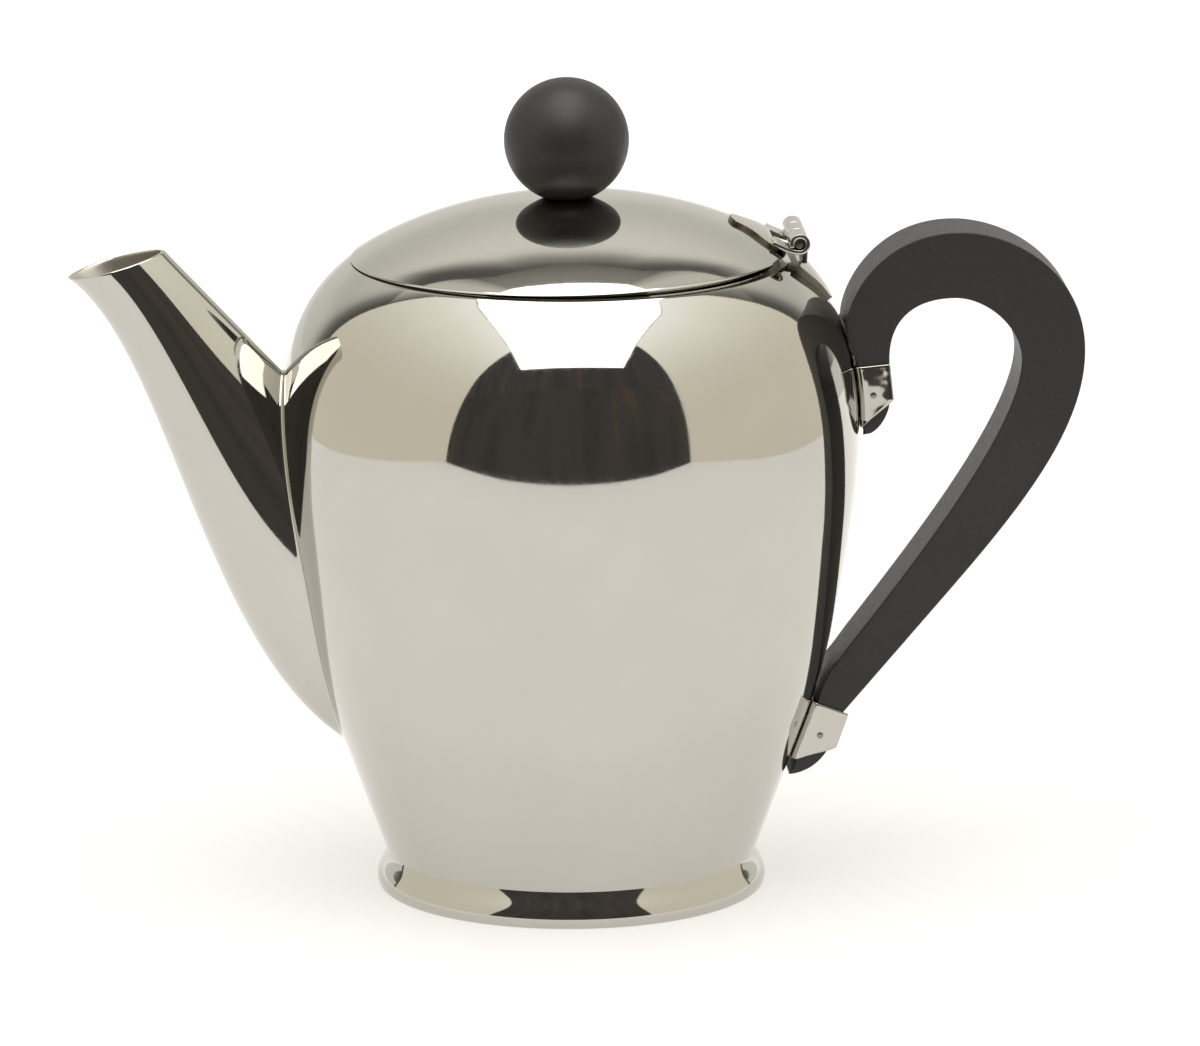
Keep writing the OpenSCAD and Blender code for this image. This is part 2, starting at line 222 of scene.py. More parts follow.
def skin(rings, ends="flat"):
    """Points and faces of rings of equal length joined in order; the ends are flat, open or
    joined to each other."""
    n, count = len(rings[0]), len(rings)
    points = np.concatenate(rings)
    faces = []
    for k in range(count if ends == "joined" else count - 1):
        a, b = k * n, (k + 1) % count * n
        faces.extend((a + i, a + (i + 1) % n, b + (i + 1) % n, b + i) for i in range(n))
    if ends == "flat":
        faces.append(tuple(range(n))[::-1])
        faces.append(tuple(range(len(points) - n, len(points))))
    return points, faces


def outline_normals(outline):
    """Outward corner directions of a closed 2D outline, long enough to keep an even inset."""
    p = np.asarray(outline, float)
    after = np.roll(p, -1, 0)
    edge = unit(after - p)
    area = np.sum(p[:, 0] * after[:, 1] - after[:, 0] * p[:, 1])
    normal = np.stack([edge[:, 1], -edge[:, 0]], 1) * (1 if area > 0 else -1)
    both = unit(normal + np.roll(normal, 1, 0))
    shortest = 0.6
    return both / np.maximum(np.sum(both * normal, 1, keepdims=True), shortest)


def clean(outline, gap=0.02):
    """A closed outline without repeated points."""
    kept = [np.array(outline[0], float)]
    for p in outline[1:]:
        if np.linalg.norm(np.array(p, float) - kept[-1]) > gap:
            kept.append(np.array(p, float))
    if np.linalg.norm(kept[0] - kept[-1]) < gap:
        kept.pop()
    return np.array(kept)


def slab(outline, low, high, round_by, steps=4, middle=0):
    """A side outline in X and Z given a width along Y, with rounded edges and middle rings."""
    outline = clean(outline)
    normal = outline_normals(outline)

    def ring(inset, level):
        """The outline drawn in by inset, at one level along Y."""
        flat = outline - normal * inset
        return np.stack([flat[:, 0], np.full(len(flat), level), flat[:, 1]], 1)

    edge = [(round_by * (1 - math.sin(a)), round_by * (1 - math.cos(a)))
            for a in np.linspace(0, math.pi / 2, steps + 1)]
    levels = np.linspace(low + round_by, high - round_by, middle + 2)[1:-1]
    rings = ([ring(inset, low + rise) for inset, rise in edge] + [ring(0, y) for y in levels]
             + [ring(inset, high - rise) for inset, rise in edge[::-1]])
    points, faces = skin(rings, ends="open")
    n = len(outline)
    for start, last in ((0, rings[0]), (len(points) - n, rings[-1])):
        flat = [Vector((p[0], p[2])) for p in last]
        edges = [(i, (i + 1) % n) for i in range(n)]
        found, origin = delaunay_2d_cdt(flat, edges, [tuple(range(n))], 1, 1e-5)[2:4]
        faces.extend(tuple(start + origin[i][0] for i in face) for face in found
                     if all(origin[i] for i in face))
    return points, faces


def join(parts):
    """Several (points, faces) shells as one."""
    points, faces, start = [], [], 0
    for p, f in parts:
        points.append(p)
        faces.extend(tuple(i + start for i in face) for face in f)
        start += len(p)
    return np.concatenate(points), faces


def finish_piece(piece, body, nodes, slot_name, *materials):
    """Ties a piece to its body, hides the CAD nodes it stands in for and gives it materials; its
    slot name is not used.
    """
    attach(piece, body)
    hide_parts(*nodes)
    for material in materials:
        piece.data.materials.append(material)
    return piece


# ------------------------ materials


def new_material(name):
    """A material with its node tree and its Principled shader."""
    material = bpy.data.materials.new(name)
    material.use_nodes = True
    tree = material.node_tree
    shader = next(n for n in tree.nodes if n.type == "BSDF_PRINCIPLED")
    return material, tree, shader


def node(tree, kind, **settings):
    """A new node; in_Some_Name sets its input Some Name, and the rest are its properties."""
    made = tree.nodes.new(kind)
    for key, value in settings.items():
        if key.startswith("in_"):
            made.inputs[key[3:].replace("_", " ")].default_value = value
        else:
            setattr(made, key, value)
    return made


def noise(tree, scale, detail=3.0, rough=0.5, stretch=(1, 1, 1)):
    """Noise in the object's own coordinates, stretched along the axes."""
    where = node(tree, "ShaderNodeTexCoord")
    size = node(tree, "ShaderNodeMapping")
    size.inputs["Scale"].default_value = stretch
    made = node(tree, "ShaderNodeTexNoise", in_Scale=scale, in_Detail=detail, in_Roughness=rough)
    tree.links.new(where.outputs["Object"], size.inputs["Vector"])
    tree.links.new(size.outputs["Vector"], made.inputs["Vector"])
    return made


def ramp(tree, source, stops):
    """A colour ramp on source; stops are (place, grey or colour)."""
    made = node(tree, "ShaderNodeValToRGB")
    elements = made.color_ramp.elements
    while len(elements) < len(stops):
        elements.new(0.5)
    for element, (place, value) in zip(elements, stops):
        element.position = place
        element.color = (*value, 1) if hasattr(value, "__len__") else (value, value, value, 1)
    tree.links.new(source, made.inputs["Fac"])
    return made.outputs["Color"]


def ramp_along(tree, axis, low, high, stops):
    """A colour ramp from low to high along one of the object's own axes, in metres."""
    where = node(tree, "ShaderNodeTexCoord")
    split = node(tree, "ShaderNodeSeparateXYZ")
    level = node(tree, "ShaderNodeMapRange", in_From_Min=low, in_From_Max=high)
    tree.links.new(where.outputs["Object"], split.inputs["Vector"])
    tree.links.new(split.outputs[axis], level.inputs["Value"])
    return ramp(tree, level.outputs["Result"], stops)


def bump(tree, shader, layers):
    """Chained bumps: (height socket, strength, distance in metres)."""
    last = None
    for height, strength, distance in layers:
        made = node(tree, "ShaderNodeBump", in_Strength=strength, in_Distance=distance)
        tree.links.new(height, made.inputs["Height"])
        if last is not None:
            tree.links.new(last, made.inputs["Normal"])
        last = made.outputs["Normal"]
    tree.links.new(last, shader.inputs["Normal"])


def steel_material(name, tint, smooth, dull, wave=0.15, stretch=(1, 1, 1), swell_scale=26.0):
    """Polished stainless steel: a clear mirror, faintly uneven, with hairlines and soft smears."""
    material, tree, shader = new_material(name)
    shader.inputs["Metallic"].default_value = 1.0
    smear = noise(tree, 38.0, 4.0, 0.6)
    hair = noise(tree, 900.0, 2.0, 0.6, stretch)
    smeared = tuple(c * 0.965 for c in tint)
    tree.links.new(ramp(tree, smear.outputs["Fac"], [(0.3, smeared), (0.7, tint)]),
                   shader.inputs["Base Color"])
    mix = node(tree, "ShaderNodeMath", operation="MULTIPLY")
    tree.links.new(smear.outputs["Fac"], mix.inputs[0])
    tree.links.new(hair.outputs["Fac"], mix.inputs[1])
    tree.links.new(ramp(tree, mix.outputs["Value"], [(0.15, smooth), (0.42, dull)]),
                   shader.inputs["Roughness"])
    swell = noise(tree, swell_scale, 1.5, 0.4)
    bump(tree, shader, [(swell.outputs["Fac"], wave, 0.0004), (hair.outputs["Fac"], 0.02, 0.00002)])
    return material


def plastic_material(name, dark, light, grain, ior=1.5):
    """Matt black moulded plastic: a fine even grain, faint flow marks and a little surface dust."""
    material, tree, shader = new_material(name)
    shader.inputs["IOR"].default_value = ior
    grain_noise = noise(tree, grain, 3.0, 0.65)
    cloud = noise(tree, 30.0, 4.0, 0.55)
    speck = noise(tree, 2600.0, 1.0, 0.5)
    base = ramp(tree, cloud.outputs["Fac"], [(0.3, dark), (0.75, light)])
    dust = ramp(tree, speck.outputs["Fac"], [(0.72, 0.0), (0.80, 0.35)])
    blend = node(tree, "ShaderNodeMix", data_type="RGBA")
    blend.inputs["B"].default_value = (0.16, 0.155, 0.145, 1)
    tree.links.new(dust, blend.inputs["Factor"])
    tree.links.new(base, blend.inputs["A"])
    tree.links.new(blend.outputs["Result"], shader.inputs["Base Color"])
    tree.links.new(ramp(tree, grain_noise.outputs["Fac"], [(0.3, 0.38), (0.7, 0.50)]),
                   shader.inputs["Roughness"])
    bump(tree, shader, [(cloud.outputs["Fac"], 0.1, 0.0002),
                        (grain_noise.outputs["Fac"], 0.25, 0.00005)])
    return material


SHEET_TINT = (0.53, 0.512, 0.468)
mirror = steel_material("polished_steel", (0.548, 0.532, 0.490), 0.035, 0.075, 0.12)
bright = steel_material("bright_steel", SHEET_TINT, 0.07, 0.16, 0.5)
dented = steel_material("bracket_steel", SHEET_TINT, 0.025, 0.06, 0.45, swell_scale=130.0)
satin = steel_material("satin_steel_inside_painted_glow", (0.55, 0.53, 0.48), 0.42, 0.56, 0.2, (1, 1, 0.1))
# The inside glows faintly: painted light, standing in for the light that bounces about in it.
satin_shader = next(n for n in satin.node_tree.nodes if n.type == "BSDF_PRINCIPLED")
satin_shader.inputs["Emission Color"].default_value = (0.12, 0.100, 0.072, 1)
satin_shader.inputs["Emission Strength"].default_value = 0.2
brass = steel_material("dull_brass", (0.50, 0.39, 0.26), 0.22, 0.36, 0.3)
# Dark metal: the cut sheet's darker edge together with painted shade. On the body's strap and the
# cross pins' rims it is painted shade only.
sheared_and_shaded = steel_material("sheared_edge_and_painted_shade", (0.140, 0.124, 0.100), 0.26, 0.40, 0.4)
pin_steel = steel_material("hinge_pin_steel", (0.115, 0.110, 0.100), 0.30, 0.45, 0.3)
rivet_steel = steel_material("cross_pin_steel", (0.33, 0.28, 0.235), 0.24, 0.38, 0.3)
black = plastic_material("black_plastic", (0.0150, 0.0138, 0.0120),
                         (0.0200, 0.0185, 0.0160), 900.0)
black_ball = plastic_material("black_plastic_ball", (0.0155, 0.0145, 0.0130),
                              (0.0205, 0.0190, 0.0170), 900.0, ior=1.41)

# ------------------------ body, mouth and foot


def body_profile():
    """The shell's closed profile: outside, rim, collar's seat and inside."""
    outer = body_curve(FLOOR_Z, RIM_Z, 0, 230)
    inner = body_curve(RIM_Z - 0.4, FLOOR_Z + 2 * SHEET, -SHEET, 90)
    rim = soften(outer[-2], outer[-1], (COLLAR_R, RIM_Z), 0.28, 5)
    bottom_r = outer[0][0]
    return np.concatenate([
        [(0, FLOOR_Z), (20, FLOOR_Z), (bottom_r - 1, FLOOR_Z)],
        outer[:-1], rim, [(COLLAR_R, RIM_Z), (COLLAR_R, RIM_Z - SHEET)], inner,
        soften(inner[-1], (bottom_r - 2 * SHEET, FLOOR_Z + SHEET), (0, FLOOR_Z + SHEET), 0.9),
        [(20, FLOOR_Z + SHEET), (0, FLOOR_Z + SHEET)]])


def strainer_cutters():
    """The strainer's holes as one mesh of short tubes through the wall behind the spout."""
    pitch, rows, mid_z, radius, sides = 5.2, 9, 66.0, 1.5, 28
    outer_x, inner_x = -70, -48
    parts = []
    for row in range(rows):
        count = 3 if row % 2 == 0 else 2
        for i in range(count):
            y, z = (i - (count - 1) / 2) * pitch, mid_z + (row - (rows - 1) / 2) * pitch
            a = np.linspace(0, 2 * math.pi, sides, endpoint=False)
            ring = np.stack([np.zeros(sides), y + radius * np.cos(a), z + radius * np.sin(a)], 1)
            parts.append(skin([ring + (outer_x, 0, 0), ring + (inner_x, 0, 0)]))
    return make_mesh("strainer_cutters", *join(parts))


pot = make_mesh("pot_body", *turned(body_profile(), 288))
cutters = strainer_cutters()
cut = pot.modifiers.new("strainer", "BOOLEAN")
cut.operation, cut.object, cut.solver = "DIFFERENCE", cutters, "MANIFOLD"
evaluated = pot.evaluated_get(bpy.context.evaluated_depsgraph_get())
drilled = bpy.data.meshes.new_from_object(evaluated)
pot.modifiers.clear()
pot.data = drilled
pot.data.name = "pot_body"
pot.data.materials.clear()
bpy.data.objects.remove(cutters)
finish_piece(pot, "pot", ["body"], "polished_steel", mirror, satin)
# The outside, the rim and the underside are polished, and the rest is satin.
near = 0.3
for face in pot.data.polygons:
    x, y, z = (c / MM for c in face.center)
    outside = math.hypot(x, y) > float(body_side(z)[0]) - near and z < RIM_Z
    face.material_index = 0 if outside or z < FLOOR_Z + near or z > RIM_Z - near else 1

collar_profile = soften_all(
    [(MOUTH_R, RIM_Z - COLLAR_DEPTH), (COLLAR_R, RIM_Z - COLLAR_DEPTH), (COLLAR_R, RIM_Z),
     (MOUTH_R, RIM_Z)], [0.2, 0, 0, 0.3])
collar = make_mesh("mouth_collar_ring", *turned(collar_profile, 256))
finish_piece(collar, "pot", ["mouth_collar"], "polished_steel", mirror)


def foot_profile():
    """The foot's flared side, its round toe and its inside."""
    top_r = float(body_side(FLOOR_Z)[0]) - 0.1
    wall = 1.1
    outside = bezier((top_r, FLOOR_Z), (top_r + 0.6, FLOOR_Z - 2.2), (FOOT_R - 0.1, FOOT_LIP + 2),
                     (FOOT_R, FOOT_LIP), 40)
    toe = bezier((FOOT_R, FOOT_LIP), (FOOT_R, 0.8), (FOOT_R - 0.2, 0), (FOOT_R - 0.7, 0), 14)
    return np.concatenate([
        outside, toe[1:],
        soften(toe[-1], (FOOT_R - wall - 0.6, 0), (FOOT_R - wall - 0.1, FOOT_LIP), 0.3),
        [(FOOT_R - wall - 0.1, FOOT_LIP), (top_r - wall, FLOOR_Z)]])


foot = make_mesh("foot_ring_band", *turned(foot_profile(), 288))
finish_piece(foot, "pot", ["foot_ring"], "polished_steel", mirror)

# ------------------------ spout

SPOUT_SIDES, SPOUT_ROWS = 128, 96


def spout_skin(t, angle, inset):
    """A point of the spout: t runs from mouth to root, angle round the section."""
    weights = bezier_weights(t)
    outer = sum(np.multiply.outer(w, np.array(p, float)) for w, p in zip(weights, SPOUT_OUTER))
    upper = (np.multiply.outer(1 - t, np.array(SPOUT_UPPER[0], float))
             + np.multiply.outer(t, np.array(SPOUT_UPPER[1], float)))
    middle, reach = (outer + upper) / 2, (outer - upper) / 2
    size = np.linalg.norm(reach, axis=-1, keepdims=True)
    half = sum(w * h for w, h in zip(weights, SPOUT_HALVES)) - inset
    power = 2 / SPOUT_SQUARENESS
    along = np.sign(np.cos(angle)) * np.abs(np.cos(angle)) ** power
    across = np.sign(np.sin(angle)) * np.abs(np.sin(angle)) ** power
    along = along + SPOUT_WIDEST * (1 - along ** 2)
    place = middle + reach / size * (size - inset) * along[..., None]
    return np.stack([place[..., 0], half * across, place[..., 1]], -1)


def meet_body(angle, inset, depth):
    """Where each line of the skin reaches the body's surface, less a depth into its wall."""
    samples = 1200
    t = np.linspace(0, 1, samples)[:, None]
    p = spout_skin(t + 0 * angle, angle + 0 * t, inset)
    gap = np.hypot(p[..., 0], p[..., 1]) - (body_side(p[..., 2])[0] - depth)
    first = np.argmax(gap < 0, axis=0)
    before = np.take_along_axis(gap, first[None] - 1, 0)[0]
    after = np.take_along_axis(gap, first[None], 0)[0]
    return (first - 1 + before / (before - after)) / (samples - 1)


def spout_mesh():
    """The spout's outside, the weld round its root, its inside and its rolled lip, as one ring
    of rings; returns its points, its faces and the first point of the inside."""
    angle = np.linspace(0, 2 * math.pi, SPOUT_SIDES, endpoint=False)
    lip, weld, little = 0.25, 1.1, 0.004
    end = meet_body(angle, 0.0, 0.0)
    joint = spout_skin(end, angle, 0.0)
    ahead = spout_skin(end - little, angle, 0.0)
    pace = np.linalg.norm(joint - ahead, axis=1) / little
    stop = end - weld / pace
    rows = [spout_skin(stop * s, angle, 0.0) for s in np.linspace(0, 1, SPOUT_ROWS)]
    start_way = unit(rows[1] - rows[0])
    rows[0] = rows[0] + start_way * lip

    # The weld: from the spout's side round into the body's surface.
    along = np.roll(joint, -1, 0) - np.roll(joint, 1, 0)
    slope = body_side(joint[:, 2])[1]
    flat = np.hypot(joint[:, 0], joint[:, 1])
    out = np.stack([joint[:, 0] / flat, joint[:, 1] / flat, -slope], 1)
    away = unit(np.cross(unit(out), along))
    away *= np.sign(np.sum(away * (joint - joint.mean(0)), 1, keepdims=True))
    toe = joint + away * weld
    for s in np.linspace(0, 1, 8)[1:]:
        rows.append((1 - s) ** 2 * rows[SPOUT_ROWS - 1] + 2 * s * (1 - s) * joint + s * s * toe)
    # Its edge ends a hair under the body's surface.
    sink = (body_side(toe[:, 2])[0] - 0.02) / np.hypot(toe[:, 0], toe[:, 1])
    rows[-1] = toe * np.stack([sink, sink, np.ones_like(sink)], 1)

    inside_end = meet_body(angle, SHEET, 0.35)
    inside = [spout_skin(inside_end * s, angle, SHEET) for s in np.linspace(0, 1, 60)]
    inside[0] = inside[0] + unit(inside[1] - inside[0]) * lip
    middle, half = (rows[0] + inside[0]) / 2, (rows[0] - inside[0]) / 2
    edge = [middle + half * math.cos(a) - start_way * lip * math.sin(a)
            for a in np.linspace(0, math.pi, 7)[1:-1]]
    points, faces = skin(edge[::-1] + rows + inside[::-1], ends="joined")
    return points, faces, (len(edge) + len(rows)) * SPOUT_SIDES


spout_points, spout_faces, inside_from = spout_mesh()
spout = make_mesh("spout_shell", spout_points, spout_faces, sharp=50)
finish_piece(spout, "pot", ["spout"], "polished_steel", mirror, satin)
for face in spout.data.polygons:
    if min(face.vertices) >= inside_from:
        face.material_index = 1

# ------------------------ lid


def lid_profile():
    """The dome's outside, its edge and its underside, round the screw's hole."""
    hole = 2.1
    outer = dome_curve(0, 170)
    inner = dome_curve(SHEET, 90)
    inner = inner[inner[:, 1] > LID_EDGE_Z + 0.3]
    inside_edge = (RIM_R - SHEET / math.sin(math.radians(EDGE_LEAN)), LID_EDGE_Z)
    edge = soften(outer[-8], (RIM_R, LID_EDGE_Z + 0.03), inside_edge, 0.3, 5)
    return np.concatenate([
        [(hole, CROWN_Z)], outer[:-2], edge, [inside_edge], inner[::-1],
        [(hole, CROWN_Z - SHEET)]])


lid = make_mesh("lid_dome", *turned(lid_profile(), 288, pose=lid_pose))
finish_piece(lid, "lid", ["lid"], "polished_steel", mirror, satin)
for face in lid.data.polygons:
    if face.normal.z < -0.2:
        face.material_index = 1

under = dome_curve(SHEET)
flange_top = float(np.interp(FLANGE_R, under[:, 0], under[:, 1]))
flange_profile = soften_all(
    [(FLANGE_R - SHEET, RIM_Z - FLANGE_DEPTH), (FLANGE_R, RIM_Z - FLANGE_DEPTH),
     (FLANGE_R, flange_top), (FLANGE_R - SHEET, flange_top)], [0.3, 0.3, 0, 0])
flange = make_mesh("lid_flange_ring", *turned(flange_profile, 256, pose=lid_pose))
finish_piece(flange, "lid", ["lid_flange"], "polished_steel", mirror)


def knob_profile():
    """The ball with a flat seat and the insert's hole."""
    centre = CROWN_Z + KNOB_RISE
    start = math.asin(KNOB_RISE / KNOB_R)
    a = np.linspace(-start, math.pi / 2, 90)
    ball = np.stack([KNOB_R * np.cos(a), centre + KNOB_R * np.sin(a)], 1)
    ball[-1, 0] = 0
    seat = soften((INSERT_R, CROWN_Z), ball[0], ball[3], 0.35, 4)
    return np.concatenate([
        [(0, CROWN_Z + INSERT_LENGTH), (INSERT_R, CROWN_Z + INSERT_LENGTH), (INSERT_R, CROWN_Z)],
        seat, ball[1:]])


knob = make_mesh("knob_ball", *turned(knob_profile(), 160, pose=lid_pose))
finish_piece(knob, "lid", ["knob"], "black_plastic", black_ball)

# ------------------------ hinge

LAP_X = 43.6
LEAF_ROUND, KNUCKLE_ROUND = 0.14, 0.16
# Rings of faces in a leaf's edge, and steps in a knuckle's rounded edge.
EDGE_BANDS, KNUCKLE_STEPS = 3, 3
# Points of the body's middle strap that get painted shade, on each of its two sides.
SHADED_STRAP_POINTS = 13
PIN_STEPS, PIN_INSET = 6, 0.8
barrel_half = BARREL / 2
ear = barrel_half - MIDDLE_HALF - KNUCKLE_GAP
roll_t, roll_r = KNUCKLE_R - BORE_R, (KNUCKLE_R + BORE_R) / 2


def tongue(root_x, tip_x, root_half, tip_half, steps=26):
    """A leaf's outline from above: straight beside the barrel, drawn in to a round tip."""
    side = bezier((root_x, root_half), (root_x + (tip_x - root_x) * 0.45, root_half),
                  (root_x + (tip_x - root_x) * 0.55, tip_half), (tip_x, tip_half * 0.85), steps)
    way = 1 if tip_x > root_x else -1
    nose = bezier((tip_x, tip_half * 0.85), (tip_x + way * 0.75, tip_half * 0.55),
                  (tip_x + way * 0.85, tip_half * 0.25), (tip_x + way * 0.85, 0), 6)
    half = np.concatenate([side, nose[1:]])
    return np.concatenate([half, half[-2::-1] * (1, -1)])


def curved_plate(outline, thickness, round_by, surface, spine_low, spine_high):
    """A sheet with rounded edges laid on a surface; surface(x, y, h) gives points at height h.
    The faces of its top and underside run in to a spine along its middle."""
    under_h = 0.02
    outline = clean(outline)
    normal = outline_normals(outline)

    def ring(flat, h):
        """One ring of the sheet, at height h."""
        return surface(flat[:, 0], flat[:, 1], h)

    rings = [ring(outline, under_h)]
    for a in np.linspace(0, math.pi / 2, 5):
        flat = outline - normal * round_by * (1 - math.cos(a))
        rings.append(ring(flat, thickness - round_by * (1 - math.sin(a))))
    top = outline - normal * round_by
    spine = np.stack([np.clip(top[:, 0], spine_low, spine_high), np.zeros(len(top))], 1)
    for s in np.linspace(1, 0, 9)[1:]:
        rings.append(ring(spine + (top - spine) * s, thickness))
    under = [ring(spine + (outline - spine) * s, under_h) for s in np.linspace(0, 1, 6)[:-1]]
    return join([skin(rings, ends="open"), skin(under + [rings[0]], ends="open")])


def on_dome(x, y, h):
    """Points at height h over the lid."""
    curve = dome_curve(0, 400)
    r = np.hypot(x, y)
    z = np.interp(r, curve[:, 0], curve[:, 1])
    slope = np.interp(r, curve[:, 0], np.gradient(curve[:, 1], curve[:, 0]))
    size = np.sqrt(1 + slope ** 2)
    out = np.stack([x - h * slope / size * x / r, y - h * slope / size * y / r, z + h / size], 1)
    return lid_pose(out)


def on_body(x, y, h):
    """Height h over the body, growing towards the rim as the leaf lifts off the body."""
    z_table = np.linspace(FLOOR_Z + 90, RIM_Z, 600)
    r_table, slope_table = body_side(z_table)
    r = np.hypot(x, y)
    top = r_table[::-1]
    z = np.interp(r, top, z_table[::-1])
    slope = np.interp(r, top, slope_table[::-1])
    size = np.sqrt(1 + slope ** 2)
    h = h * (1 + LEAF_LIFT / LEAF * (z - LEAF_LOW) / (RIM_Z - LEAF_LOW))
    return np.stack([x + h / size * x / r, y + h / size * y / r, z - h * slope / size], 1)


def curl(strap, turn_from, turn_to, mean_r, thickness):
    """A strap in X and Z that runs into a rolled knuckle round the pin, as one closed outline."""
    a = np.radians(np.linspace(turn_from, turn_to, 56))
    roll = np.stack([HINGE_X + mean_r * np.cos(a), HINGE_Z + mean_r * np.sin(a)], 1)
    line = clean(np.concatenate([strap, roll]))
    way = unit(np.gradient(line, axis=0))
    side = np.stack([-way[:, 1], way[:, 0]], 1) * thickness / 2
    nose = way[-1] * thickness / 2 * 0.6
    cap = [line[-1] + side[-1] * math.cos(c) + nose * math.sin(c)
           for c in np.linspace(0, math.pi, 6)[1:-1]]
    return np.concatenate([line + side, cap, (line - side)[::-1]])


# The lid's leaf: its straps pass under the pin, and roll round it away from the lid.
lid_strap = bezier((LAP_X - 0.9, HINGE_Z + 0.25), (LAP_X + 1.2, HINGE_Z - 0.7),
                   (HINGE_X - 1.8, HINGE_Z - roll_r), (HINGE_X - 0.2, HINGE_Z - roll_r), 14)
ear_outline = curl(lid_strap, -90, 196, roll_r, roll_t)
lid_tongue = clean(tongue(LAP_X, 35.1, barrel_half, 5.0))
lid_leaf_parts = [curved_plate(lid_tongue, LEAF, LEAF_ROUND, on_dome, 38.5, 41.5)]
for sign in (-1, 1):
    near_y, far_y = sorted((sign * (barrel_half - ear), sign * barrel_half))
    lid_leaf_parts.append(slab(ear_outline, near_y, far_y, KNUCKLE_ROUND, KNUCKLE_STEPS))
# The leaf's edge gets the dark metal: the cut sheet's darker edge with painted shade.
lid_leaf = make_mesh("hinge_leaf_on_lid", *join(lid_leaf_parts), sharp=50,
                     second=range(EDGE_BANDS * len(lid_tongue)), weighted=True)
finish_piece(lid_leaf, "lid", ["hinge_lid_leaf"], "bright_steel", bright, sheared_and_shaded)

# The body's leaf: its middle strap rises behind the pin and rolls over it. The leaf's edge is the
# cut sheet's darker metal with painted shade. The strap's lower part by the body and its two sides
# are painted shade only.
body_strap = bezier((49.9, 134.6), (50.3, 136.6), (HINGE_X + roll_r, HINGE_Z - 3.0),
                    (HINGE_X + roll_r, HINGE_Z - 0.2), 14)
middle_outline = curl(body_strap, 0, 262, roll_r, roll_t)
body_tongue = clean(tongue(47.2, 54.5, barrel_half - 0.5, 8.2))
body_leaf_parts = [
    curved_plate(body_tongue, LEAF, LEAF_ROUND, on_body, 49.0, 53.0),
    slab(middle_outline, -MIDDLE_HALF, MIDDLE_HALF, KNUCKLE_ROUND, KNUCKLE_STEPS)]
plate_faces, strap_faces = (len(faces) for points, faces in body_leaf_parts)
outline_n, strap_bands = len(clean(middle_outline)), 2 * KNUCKLE_STEPS + 1
strap_ends = [*range(SHADED_STRAP_POINTS), *range(outline_n - SHADED_STRAP_POINTS, outline_n)]
# Faces that get painted shade: the strap's lower part and its two sides.
painted_shade_strap = [plate_faces + band * outline_n + i for band in range(strap_bands) for i in strap_ends]
painted_shade_sides = range(plate_faces + strap_bands * outline_n, plate_faces + strap_faces)
body_leaf = make_mesh("hinge_leaf_on_body", *join(body_leaf_parts), sharp=50, weighted=True,
                      second=[*range(EDGE_BANDS * len(body_tongue)), *painted_shade_strap, *painted_shade_sides])
finish_piece(body_leaf, "pot", ["hinge_body_leaf"], "bright_steel", bright, sheared_and_shaded)


def pin_along_y(radius, half_length, dome, place, segments=48):
    """A pin along Y with softly domed ends, centred on place in X and Z."""
    a = np.linspace(0, math.pi / 2, PIN_STEPS + 1)
    end = np.stack([radius * np.sin(a), half_length - dome + dome * np.cos(a)], 1)
    end[0, 0] = 0
    profile = np.concatenate([end, end[::-1] * (1, -1)])
    points, faces = turned(profile, segments, around="y")
    return points + (place[0], 0, place[1]), faces


hinge_pin = make_mesh("hinge_pin_rod", *pin_along_y(PIN_R, barrel_half - PIN_INSET, 0.35,
                                                    (HINGE_X, HINGE_Z)), sharp=60)
finish_piece(hinge_pin, "pot", ["hinge_pin"], "bright_steel", pin_steel)

# ------------------------ brackets and pins

# A cheek's free edge: distance out from the pin and height over it, across the body's side.
CHEEK_EDGE = [(4.2, 6.4), (4.3, -1.4), (3.3, -2.3), (-1, -5.2), (-2.9, -6.7)]
# How far its round edge reaches, and how thin and how long the strip's two ends taper.
EDGE_CAP, EDGE_THIN, EDGE_RISE = 0.3, 0.3, 0.25
CROSS_PIN_R, CROSS_PIN_OUT, CROSS_PIN_DOME, CROSS_PIN_SIDES = 0.8, 0.1, 0.18, 40


